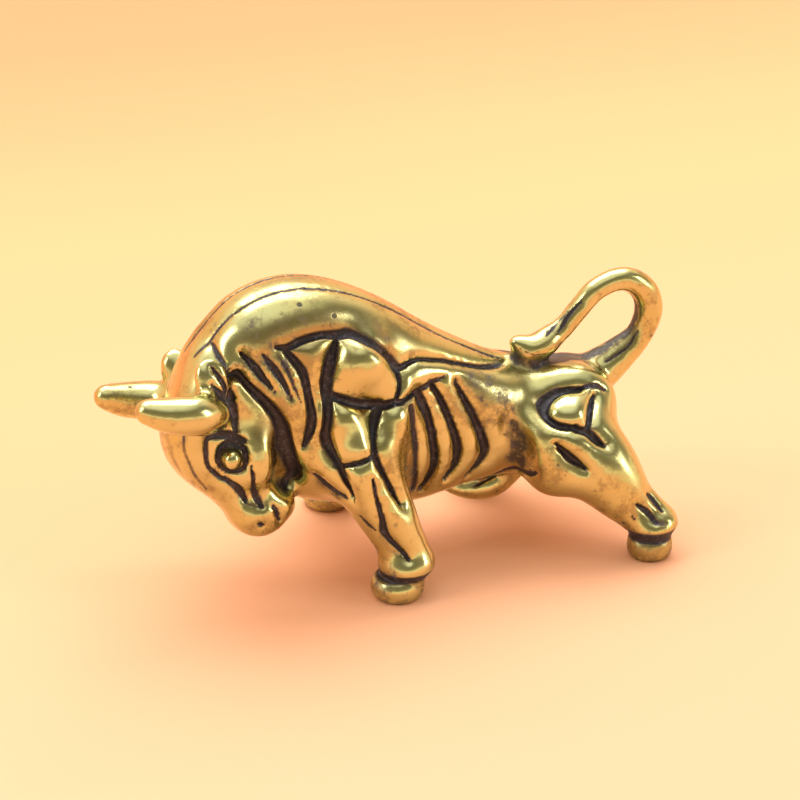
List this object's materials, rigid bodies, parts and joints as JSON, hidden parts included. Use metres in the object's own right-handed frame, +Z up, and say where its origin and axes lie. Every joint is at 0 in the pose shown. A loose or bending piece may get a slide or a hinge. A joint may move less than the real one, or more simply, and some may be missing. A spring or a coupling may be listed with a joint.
{
  "type": "bull figurine",
  "caption": "Small solid cast brass bull, standing as if to charge, with a lowered horned head, carved muscles and a tail looped over its back, for display on a desk or shelf.",
  "frame": {"origin": "on the ground under the middle of the figurine's box, level with the soles of its four hooves", "axes": "-X is the way the bull faces, +X its tail end, -Y its left flank, +Z up"},
  "size_m": [0.05, 0.023, 0.0267],
  "materials": {
    "aged_brass": "polished on the raised forms, with dark patina left in the grooves"
  },
  "bodies": {
    "root": {"bull": "aged_brass"}
  },
  "joints": []
}
